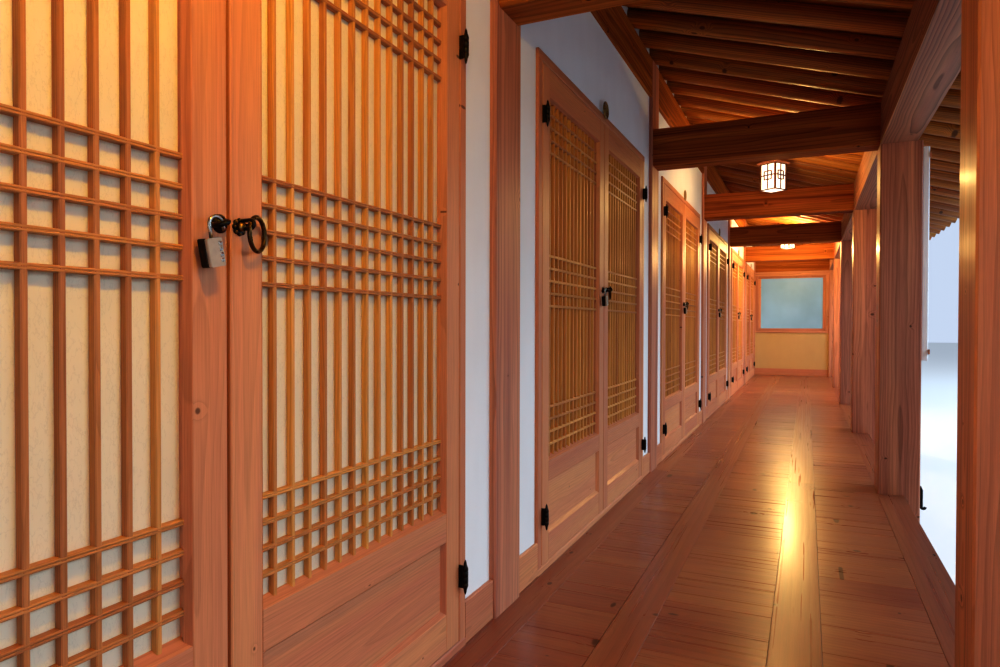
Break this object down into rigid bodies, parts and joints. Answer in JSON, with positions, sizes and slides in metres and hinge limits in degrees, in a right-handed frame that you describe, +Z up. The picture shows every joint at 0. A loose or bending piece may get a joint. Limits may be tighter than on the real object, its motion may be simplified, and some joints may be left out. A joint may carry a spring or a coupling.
{
  "type": "hanok wing with an open veranda",
  "caption": "Six-bay hanok wing: rooms with paired lattice doors behind an open timber veranda, under a gabled tile roof.",
  "frame": {"origin": "centre of the bounding box, on the ground", "axes": "+X along the wing towards the walled end of the veranda, -Y out of the veranda front, +Z up"},
  "size_m": [15.8, 7.07, 4.6304],
  "materials": {
    "timber": "oiled pine, satin",
    "door_wood": "varnished pine, satin",
    "plaster": "matt lime plaster",
    "floor_boards": "varnished boards, glossy",
    "room_floor": "oiled floor paper on masonry",
    "roof_tile": "unglazed grey tile, matt",
    "window": "stained frame with one clear pane",
    "lantern": "stained frame with paper sides"
  },
  "bodies": {
    "house": {"outer_post_1": "timber", "outer_post_2": "timber", "outer_post_3": "timber", "outer_post_4": "timber", "outer_post_5": "timber", "outer_post_6": "timber", "outer_post_7": "timber", "tie_beam_1": "timber", "tie_beam_2": "timber", "tie_beam_3": "timber", "tie_beam_4": "timber", "tie_beam_5": "timber", "tie_beam_6": "timber", "tie_beam_7": "timber", "outer_beam": "timber", "wall_frame": "timber", "back_frame": "timber", "roof_frame": "timber", "front_rafters": "timber", "back_rafters": "timber", "door_frame_1": "timber", "door_frame_2": "timber", "door_frame_3": "timber", "door_frame_4": "timber", "door_frame_5": "timber", "door_frame_6": "timber", "front_wall": "plaster", "back_wall": "plaster", "near_gable_wall": "plaster", "far_gable_wall": "plaster", "veranda_end_wall": "plaster", "veranda_floor": "floor_boards", "room_floor": "room_floor", "roof_front": "roof_tile", "roof_back": "roof_tile", "ridge": "roof_tile", "end_window": "window", "lantern_1": "lantern", "lantern_2": "lantern", "lantern_3": "lantern"},
    "leaf_1_left": {"door_1_left": "door_wood"},
    "leaf_1_right": {"door_1_right": "door_wood"},
    "leaf_2_left": {"door_2_left": "door_wood"},
    "leaf_2_right": {"door_2_right": "door_wood"},
    "leaf_3_left": {"door_3_left": "door_wood"},
    "leaf_3_right": {"door_3_right": "door_wood"},
    "leaf_4_left": {"door_4_left": "door_wood"},
    "leaf_4_right": {"door_4_right": "door_wood"},
    "leaf_5_left": {"door_5_left": "door_wood"},
    "leaf_5_right": {"door_5_right": "door_wood"},
    "leaf_6_left": {"door_6_left": "door_wood"},
    "leaf_6_right": {"door_6_right": "door_wood"}
  },
  "joints": [
    {"name": "door_1_left_hinge", "type": "hinge", "parent": "house", "child": "leaf_1_left", "pos_m": [-6.9195, -1.181, 1.45], "axis": [0, 0, -1], "range_deg": [0, 100]},
    {"name": "door_1_right_hinge", "type": "hinge", "parent": "house", "child": "leaf_1_right", "pos_m": [-5.1805, -1.181, 1.45], "axis": [0, 0, 1], "range_deg": [0, 100]},
    {"name": "door_2_left_hinge", "type": "hinge", "parent": "house", "child": "leaf_2_left", "pos_m": [-4.4995, -1.181, 1.45], "axis": [0, 0, -1], "range_deg": [0, 100]},
    {"name": "door_2_right_hinge", "type": "hinge", "parent": "house", "child": "leaf_2_right", "pos_m": [-2.7605, -1.181, 1.45], "axis": [0, 0, 1], "range_deg": [0, 100]},
    {"name": "door_3_left_hinge", "type": "hinge", "parent": "house", "child": "leaf_3_left", "pos_m": [-2.0795, -1.181, 1.45], "axis": [0, 0, -1], "range_deg": [0, 100]},
    {"name": "door_3_right_hinge", "type": "hinge", "parent": "house", "child": "leaf_3_right", "pos_m": [-0.3405, -1.181, 1.45], "axis": [0, 0, 1], "range_deg": [0, 100]},
    {"name": "door_4_left_hinge", "type": "hinge", "parent": "house", "child": "leaf_4_left", "pos_m": [0.3405, -1.181, 1.45], "axis": [0, 0, -1], "range_deg": [0, 100]},
    {"name": "door_4_right_hinge", "type": "hinge", "parent": "house", "child": "leaf_4_right", "pos_m": [2.0795, -1.181, 1.45], "axis": [0, 0, 1], "range_deg": [0, 100]},
    {"name": "door_5_left_hinge", "type": "hinge", "parent": "house", "child": "leaf_5_left", "pos_m": [2.7605, -1.181, 1.45], "axis": [0, 0, -1], "range_deg": [0, 100]},
    {"name": "door_5_right_hinge", "type": "hinge", "parent": "house", "child": "leaf_5_right", "pos_m": [4.4995, -1.181, 1.45], "axis": [0, 0, 1], "range_deg": [0, 100]},
    {"name": "door_6_left_hinge", "type": "hinge", "parent": "house", "child": "leaf_6_left", "pos_m": [5.1805, -1.181, 1.45], "axis": [0, 0, -1], "range_deg": [0, 100]},
    {"name": "door_6_right_hinge", "type": "hinge", "parent": "house", "child": "leaf_6_right", "pos_m": [6.9195, -1.181, 1.45], "axis": [0, 0, 1], "range_deg": [0, 100]}
  ]
}
